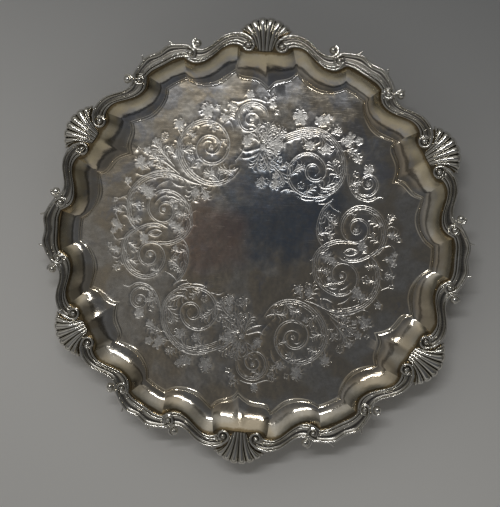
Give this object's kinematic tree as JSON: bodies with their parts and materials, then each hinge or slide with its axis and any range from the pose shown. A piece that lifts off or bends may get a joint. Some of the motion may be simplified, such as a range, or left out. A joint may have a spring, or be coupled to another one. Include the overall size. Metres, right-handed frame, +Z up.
{
  "type": "silver salver",
  "caption": "Footed round serving tray with a raised border of cast scallop shells and scroll mouldings, and a flat engraved centre.",
  "frame": {"origin": "middle of the salver, on the surface that its feet stand on", "axes": "+Z up out of the tray, +Y towards the first shell"},
  "size_m": [0.2482, 0.2548, 0.0257],
  "materials": {
    "silver_sheet": "polished, engraved and unevenly tarnished",
    "silver_casting": "polished on the high parts, brown in the recesses",
    "silver_foot": "cast and polished"
  },
  "bodies": {
    "root": {"tray": "silver_sheet", "shell_1": "silver_casting", "s_scroll_left_1": "silver_casting", "s_scroll_right_1": "silver_casting", "c_scroll_1": "silver_casting", "shell_2": "silver_casting", "s_scroll_left_2": "silver_casting", "s_scroll_right_2": "silver_casting", "c_scroll_2": "silver_casting", "shell_3": "silver_casting", "s_scroll_left_3": "silver_casting", "s_scroll_right_3": "silver_casting", "c_scroll_3": "silver_casting", "shell_4": "silver_casting", "s_scroll_left_4": "silver_casting", "s_scroll_right_4": "silver_casting", "c_scroll_4": "silver_casting", "shell_5": "silver_casting", "s_scroll_left_5": "silver_casting", "s_scroll_right_5": "silver_casting", "c_scroll_5": "silver_casting", "shell_6": "silver_casting", "s_scroll_left_6": "silver_casting", "s_scroll_right_6": "silver_casting", "c_scroll_6": "silver_casting", "foot_1": "silver_foot", "foot_2": "silver_foot", "foot_3": "silver_foot"}
  },
  "joints": []
}
